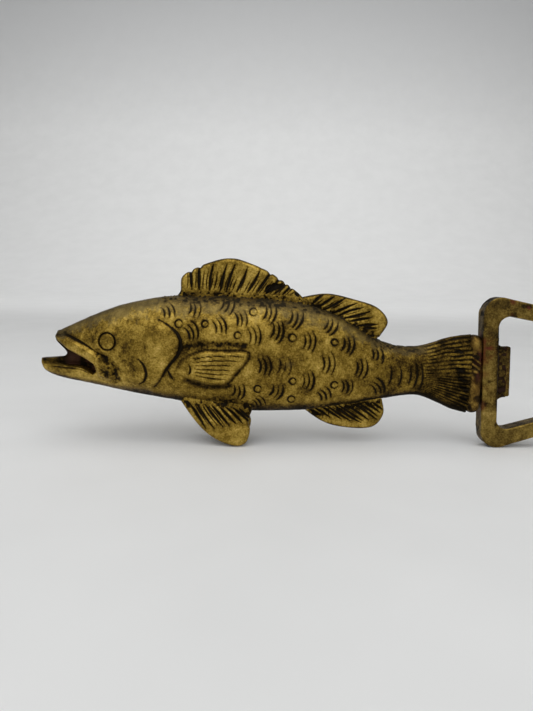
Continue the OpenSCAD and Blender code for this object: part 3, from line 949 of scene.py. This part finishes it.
def catch_lug(steel):
    """A thinner tongue with hollow fillets at its root and a bevelled lip at its tip."""
    along = np.linspace(-1.5, LUG_REACH, 60)
    across = np.linspace(-1, 1, 120)
    reach = np.clip(LUG_FILLET - np.maximum(along, 0), 0, LUG_FILLET)
    half_w = LUG_W / 2 + LUG_FILLET - np.sqrt(LUG_FILLET**2 - reach**2)
    tip = step(along, LUG_REACH - 0.5, LUG_REACH)
    half_w -= 0.15 * tip
    out = np.repeat(along[:, None], len(across), axis=1)
    x = out + BAR_W
    z = half_w[:, None] * across[None, :]
    flat = np.stack([x, np.zeros_like(x), z], axis=-1)
    rough = 0.09 * lumps(flat, 1.6, 81) + 0.06 * lumps(flat, 0.7, 82)
    lip = 0.75 * step(out, LUG_REACH - 1.5, LUG_REACH - 1.2) + 0.25 * step(out, LUG_REACH - 0.3, LUG_REACH)
    rim = 0.35 * step(np.abs(across)[None, :] * half_w[:, None], half_w[:, None] - 0.3, half_w[:, None])
    front_y = 0.05 + lip + rim + rough * (1 - rim)
    back_y = BAR_T / 2 - 0.02 - 0.3 * step(out, LUG_REACH - 0.4, LUG_REACH)
    front = np.stack([x, front_y, z], axis=-1)
    back = np.stack([x, back_y, z], axis=-1)
    points, faces = two_faced(front, back)
    piece = make_mesh("catch_lug", from_loop(points), faces)
    fix_normals(piece)
    pits = step(lumps(flat, 0.9, 83) + 0.5 * lumps(flat, 2.1, 84), -0.1, 0.8)
    worn = 0.3 + (0.6 * pits + 0.1) * (1 - step(out, LUG_REACH - 1.9, LUG_REACH - 1.4))
    # Darkest at the root, where the lug meets the bar.
    grime_and_shade = np.maximum(worn, 0.9 * bump(out, 0.8))
    age(piece, np.concatenate([grime_and_shade.ravel(), 0.5 * worn.ravel()]), np.tile(0.15 * pits.ravel(), 2))
    finish_piece(piece, steel, "opener_frame", sharp=60)


def tang(steel):
    """The tongue of the bar that the tail closes round, with softened edges."""
    length, thick, height = TANG
    start = TANG_EDGE - length
    end = 0.5
    side = height / 2 - TANG_EDGE
    outline = round_outline([(start, -side), (end, -side), (end, side), (start, side)], TANG_EDGE, 0, 6, 12)
    rows = []
    for y, inset in ((-thick / 2, 0.2), (-thick / 2 + 0.2, 0), (thick / 2 - 0.2, 0), (thick / 2, 0.2)):
        shrink = 1 - inset / height
        rows.append([(x * shrink, y, z * shrink) for x, z in outline])
    points = np.array(rows).reshape(-1, 3)
    n = len(outline)
    faces = [tuple(range(n)), tuple(range(4 * n - 1, 3 * n - 1, -1))]
    faces += ring_faces(len(rows), n)
    piece = make_mesh("opener_tang", from_loop(points), faces)
    fix_normals(piece)
    age(piece, 0.4, 0.3)
    finish_piece(piece, steel, "opener_frame", sharp=60)


def tail_joint(filler):
    """Filler brass run into the gap between tail and bar: a bright bead, folds and a smooth lump."""
    low, high = BEAD
    t = np.linspace(0.004, 0.996, 150)
    z = low + (high - low) * t
    round_end = (1 - np.abs(2 * t - 1) ** 11) ** 0.5
    turns = np.linspace(0, 2 * math.pi, 90, endpoint=False)
    wide = 2.25 * round_end * (1 - 0.1 * bump(z - 24, 3))
    thick = 3.1 * round_end * (0.94 + 0.06 * bump(z - 16.5, 4))
    bar_side = FISH_LEN + COLLAR_GAP - math.tan(math.radians(LOOP_TILT)) * (z - LOOP_Z)
    middle = (FISH_LEN - 1.1 + bar_side + 0.35) / 2
    x = middle[:, None] + wide[:, None] * superellipse(np.cos(turns))
    y = thick[:, None] * superellipse(np.sin(turns))
    z = np.repeat(z[:, None], len(turns), axis=1)
    grid = np.stack([x, y, z], axis=-1)
    folds = 0.3 * np.sin((z + 0.6 * x) * 3.6) * bump(z - 25.5, 2.4)
    lump = bump(np.hypot((x - BEAD_LUMP[0]) / 1.4, (z - BEAD_LUMP[1]) / 1.3), 1)
    swell = 0.4 * lumps(grid, 3, 91) + 0.2 * lumps(grid, 1.3, 92) + folds - 0.12 + 0.5 * lump
    grid[..., 1] *= np.minimum(1 + swell / 3, 1.07)
    rows, around = grid.shape[:2]
    faces = ring_faces(rows, around)
    faces.append(tuple(range(around)))
    faces.append(tuple(range(rows * around - 1, (rows - 1) * around - 1, -1)))
    piece = make_mesh("tail_braze_bead", grid.reshape(-1, 3), faces)
    fix_normals(piece)
    hollow = step(-swell, 0.02, 0.25)
    seam = bump(x - bar_side[:, None] - 0.1, 0.35) + bump(x - FISH_LEN + 0.8, 0.4)
    seam *= step(lumps(grid, 2.2, 94), -0.6, 0.4)
    grime_and_shade = 0.34 + 0.45 * hollow + 0.1 * seam - 0.3 * lump
    stain = bump(np.hypot((z - 27.5) / 2, (x - 129.6) / 1.2), 1)
    stain += 0.6 * bump(np.hypot((z - 22) / 4, (x - 129.5) / 1.5), 1)
    rust = 0.6 * stain * step(lumps(grid, 1.5, 93), -0.3, 0.3)
    age(piece, grime_and_shade.ravel(), rust.ravel())
    finish_piece(piece, filler, "tail_braze", sharp=70)


# ---------------------------------------------------------------- materials

OXIDE_COLOUR = (0.105, 0.082, 0.038)


class Nodes:
    """Short ways to add and join shader nodes."""

    def __init__(self, tree):
        self.tree = tree

    def add(self, kind, **settings):
        node = self.tree.nodes.new(kind)
        for name, value in settings.items():
            setattr(node, name, value)
        return node

    def join(self, out, into):
        self.tree.links.new(out, into)

    def sum(self, *terms):
        """The terms added up, each a socket or a (socket, factor) pair or a number."""
        total = None
        for term in terms:
            socket = term
            if isinstance(term, tuple):
                node = self.add("ShaderNodeMath", operation="MULTIPLY")
                self.join(term[0], node.inputs[0])
                node.inputs[1].default_value = term[1]
                socket = node.outputs[0]
            if total is None:
                total = socket
                continue
            node = self.add("ShaderNodeMath", operation="ADD")
            self.join(total, node.inputs[0])
            if isinstance(socket, (int, float)):
                node.inputs[1].default_value = socket
            else:
                self.join(socket, node.inputs[1])
            total = node.outputs[0]
        return total

    def attribute(self, name):
        return self.add("ShaderNodeAttribute", attribute_name=name).outputs["Fac"]

    def noise(self, size_mm, detail=4, rough=0.6):
        """Noise in the object's own coordinates, with lumps of about that size."""
        place = self.add("ShaderNodeTexCoord").outputs["Object"]
        node = self.add("ShaderNodeTexNoise")
        self.join(place, node.inputs["Vector"])
        node.inputs["Scale"].default_value = 1 / (size_mm * MM)
        node.inputs["Detail"].default_value = detail
        node.inputs["Roughness"].default_value = rough
        return node.outputs["Fac"]

    def ramp(self, value, stops):
        node = self.add("ShaderNodeValToRGB")
        while len(node.color_ramp.elements) < len(stops):
            node.color_ramp.elements.new(0.5)
        for element, (at, shade) in zip(node.color_ramp.elements, stops):
            element.position = at
            element.color = (*shade, 1) if isinstance(shade, tuple) else (shade, shade, shade, 1)
        self.join(value, node.inputs[0])
        return node.outputs["Color"]

    def mix(self, amount, a, b):
        node = self.add("ShaderNodeMix", data_type="RGBA")
        self.join(amount, node.inputs["Factor"])
        self.join(a, node.inputs["A"])
        if isinstance(b, tuple):
            node.inputs["B"].default_value = (*b, 1)
        else:
            self.join(b, node.inputs["B"])
        return node.outputs["Result"]


def aged_metal(name, colours, roughness, mottle, bias, rust_colour, grain):
    """Metal that is worn bright where its darkening is 0 and nearly black where it is 1; the darkening is
    dirt and, in a few places, painted shade.

    mottle is how much broad, middling and fine noise add to the wear, and bias sets its level.
    """
    material = bpy.data.materials.new(name)
    material.use_nodes = True
    nodes = Nodes(material.node_tree)
    shader = material.node_tree.nodes["Principled BSDF"]
    grime_and_shade = nodes.attribute("grime_and_shade")
    broad = nodes.noise(9, 3)
    patches = nodes.noise(2.4, 4)
    specks = nodes.noise(0.5, 3, 0.7)
    wear = nodes.sum((grime_and_shade, 0.85), (broad, mottle[0]), (patches, mottle[1]), (specks, mottle[2]), bias)
    oxide = nodes.sum((nodes.attribute("oxide"), 0.7))
    colour = nodes.mix(oxide, nodes.ramp(wear, colours), OXIDE_COLOUR)
    rust = nodes.attribute("rust")
    nodes.join(nodes.mix(rust, colour, rust_colour), shader.inputs["Base Color"])
    nodes.join(nodes.ramp(wear, roughness), shader.inputs["Roughness"])
    dirt = nodes.sum((grime_and_shade, 0.6), (rust, 0.6), (specks, 0.1))
    nodes.join(nodes.ramp(dirt, [(0.45, 1.0), (0.9, 0.35)]), shader.inputs["Metallic"])
    shader.inputs["Specular IOR Level"].default_value = 0.3
    bump_node = nodes.add("ShaderNodeBump")
    bump_node.inputs["Strength"].default_value = grain
    bump_node.inputs["Distance"].default_value = 0.12 * MM
    fine = nodes.noise(0.25, 3, 0.6)
    nodes.join(nodes.sum((specks, 1.0), (fine, 0.5), (patches, 0.8)), bump_node.inputs["Height"])
    nodes.join(bump_node.outputs["Normal"], shader.inputs["Normal"])
    return material


def brass_material():
    """Cast brass, golden where it is rubbed and brown to black in the hollows."""
    colours = [(0.0, (0.68, 0.47, 0.14)), (0.25, (0.45, 0.305, 0.060)), (0.5, (0.21, 0.132, 0.020)),
               (0.72, (0.07, 0.042, 0.009)), (0.95, (0.012, 0.008, 0.003))]
    rough = [(0.0, 0.32), (0.35, 0.40), (0.7, 0.52), (1.0, 0.7)]
    return aged_metal("aged_brass", colours, rough, (1.0, 0.75, 0.9), -0.97, (0.07, 0.018, 0.006), 0.85)


def steel_material():
    """Brass-plated steel, duller and browner than the fish."""
    colours = [(0.0, (0.52, 0.37, 0.12)), (0.3, (0.28, 0.19, 0.045)), (0.55, (0.125, 0.080, 0.018)),
               (0.75, (0.048, 0.031, 0.010)), (0.95, (0.012, 0.009, 0.004))]
    rough = [(0.0, 0.33), (0.35, 0.42), (0.7, 0.55), (1.0, 0.75)]
    return aged_metal("brassed_steel", colours, rough, (1.0, 0.85, 0.75), -0.94, (0.11, 0.018, 0.009), 0.6)


def filler_material():
    """Brazing brass, a little smoother and redder."""
    colours = [(0.0, (0.64, 0.43, 0.13)), (0.3, (0.37, 0.24, 0.055)), (0.55, (0.17, 0.10, 0.022)),
               (0.75, (0.06, 0.035, 0.010)), (0.95, (0.012, 0.008, 0.004))]
    rough = [(0.0, 0.25), (0.35, 0.36), (0.7, 0.5), (1.0, 0.7)]
    return aged_metal("braze_brass", colours, rough, (0.7, 0.9, 0.7), -0.85, (0.14, 0.028, 0.010), 0.6)


def floor_material():
    """Pale paint that turns greyer high up the backdrop: painted shade, for less light reaching it there.
    """
    material = bpy.data.materials.new("pale_floor")
    material.use_nodes = True
    nodes = Nodes(material.node_tree)
    shader = material.node_tree.nodes["Principled BSDF"]
    shade = nodes.ramp(nodes.noise(40, 2), [(0.3, (0.78, 0.785, 0.78)), (0.7, (0.81, 0.815, 0.81))])
    place = nodes.add("ShaderNodeSeparateXYZ")
    nodes.join(nodes.add("ShaderNodeTexCoord").outputs["Object"], place.inputs[0])
    # Painted shade: the backdrop's colour turns grey from half a metre up, standing in for the light
    # falling off.
    high = nodes.ramp(place.outputs["Z"], [(0.5, 0.0), (0.95, 0.9)])
    nodes.join(nodes.mix(high, shade, (0.58, 0.585, 0.59)), shader.inputs["Base Color"])
    shader.inputs["Roughness"].default_value = 0.6
    shader.inputs["Specular IOR Level"].default_value = 0.3
    return material


# ---------------------------------------------------------------- studio

def backdrop():
    """Pale floor that curves up behind the object."""
    width = 6
    depth = 0.9
    rise = 4
    bend = 0.9
    line = [(-width, 0), (depth, 0)]
    for a in np.radians(np.linspace(0, 90, 24)[1:]):
        line.append((depth + bend * math.sin(a), bend * (1 - math.cos(a))))
    line.append((depth + bend, rise))
    points = [(x, y, z) for y, z in line for x in (-width, width)]
    faces = [(2 * i, 2 * i + 1, 2 * i + 3, 2 * i + 2) for i in range(len(line) - 1)]
    mesh = bpy.data.meshes.new("floor")
    mesh.from_pydata(points, [], faces)
    floor = bpy.data.objects.new("floor", mesh)
    bpy.context.scene.collection.objects.link(floor)
    mesh.shade_smooth()
    mesh.materials.append(floor_material())


def area_light(name, place, aim, size, energy, spread=180):
    """A soft light; place, aim and size are in metres and spread is in degrees."""
    data = bpy.data.lights.new(name, "AREA")
    data.shape = "RECTANGLE"
    data.size, data.size_y = size
    data.energy = energy
    data.spread = math.radians(spread)
    lamp = bpy.data.objects.new(name, data)
    lamp.location = place
    lamp.rotation_euler = (Vector(aim) - Vector(place)).to_track_quat("-Z", "Y").to_euler()
    bpy.context.scene.collection.objects.link(lamp)


def studio_world():
    """Pale room: bright above, dimmer near the horizon, so that the metal has something to mirror."""
    world = bpy.data.worlds.new("studio")
    bpy.context.scene.world = world
    world.use_nodes = True
    nodes = Nodes(world.node_tree)
    background = world.node_tree.nodes["Background"]
    way = nodes.add("ShaderNodeSeparateXYZ")
    nodes.join(nodes.add("ShaderNodeTexCoord").outputs["Generated"], way.inputs[0])
    height = nodes.sum((way.outputs["Z"], 0.5), 0.5)
    room = nodes.ramp(height, [(0.48, 0.12), (0.58, 0.16), (0.75, 0.4), (0.95, 0.6)])
    seen = nodes.add("ShaderNodeLightPath").outputs["Is Camera Ray"]
    nodes.join(nodes.mix(seen, room, (0.55, 0.56, 0.56)), background.inputs["Color"])
    background.inputs["Strength"].default_value = 1.0


def camera():
    """Close to the fish's left flank, a little above it, tipped down and turned slightly."""
    place = Vector((-17.8, -157, 50.1))
    pitch = math.radians(8.6)
    roll = math.radians(1.1)
    data = bpy.data.cameras.new("camera")
    data.lens = 27.04
    data.sensor_width = 36
    data.clip_start = 0.005
    eye_object = bpy.data.objects.new("camera", data)
    ahead = Vector((0, math.cos(pitch), -math.sin(pitch)))
    level = Vector((1, 0, 0))
    above = Vector((0, math.sin(pitch), math.cos(pitch)))
    right = level * math.cos(roll) + above * math.sin(roll)
    up = above * math.cos(roll) - level * math.sin(roll)
    turn = Matrix((right, up, -ahead)).transposed().to_4x4()
    eye_object.matrix_world = Matrix.Translation(place * MM) @ turn
    bpy.context.scene.collection.objects.link(eye_object)
    bpy.context.scene.camera = eye_object


bpy.context.scene.view_settings.view_transform = "Standard"
camera()
studio_world()
area_light("key", (-0.05, -0.42, 0.52), (0, 0.03, 0), (1.3, 0.85), 3.2)
area_light("overhead", (0, 0, 0.9), (0, 0, 0), (0.9, 0.6), 1.2)
area_light("backdrop_wash", (0, 0.2, 0.7), (0, 1.7, 0.45), (1.8, 0.4), 6.4, spread=130)
backdrop()

brass = brass_material()
steel = steel_material()
filler = filler_material()
for side, seed in ((-1, 3), (1, 8)):
    fish_body(side, seed, brass)
    middle_fins(side, seed, brass)
    pelvic_fin(side, seed + 80, brass)
opener_loop(steel)
catch_lug(steel)
tang(steel)
tail_joint(filler)
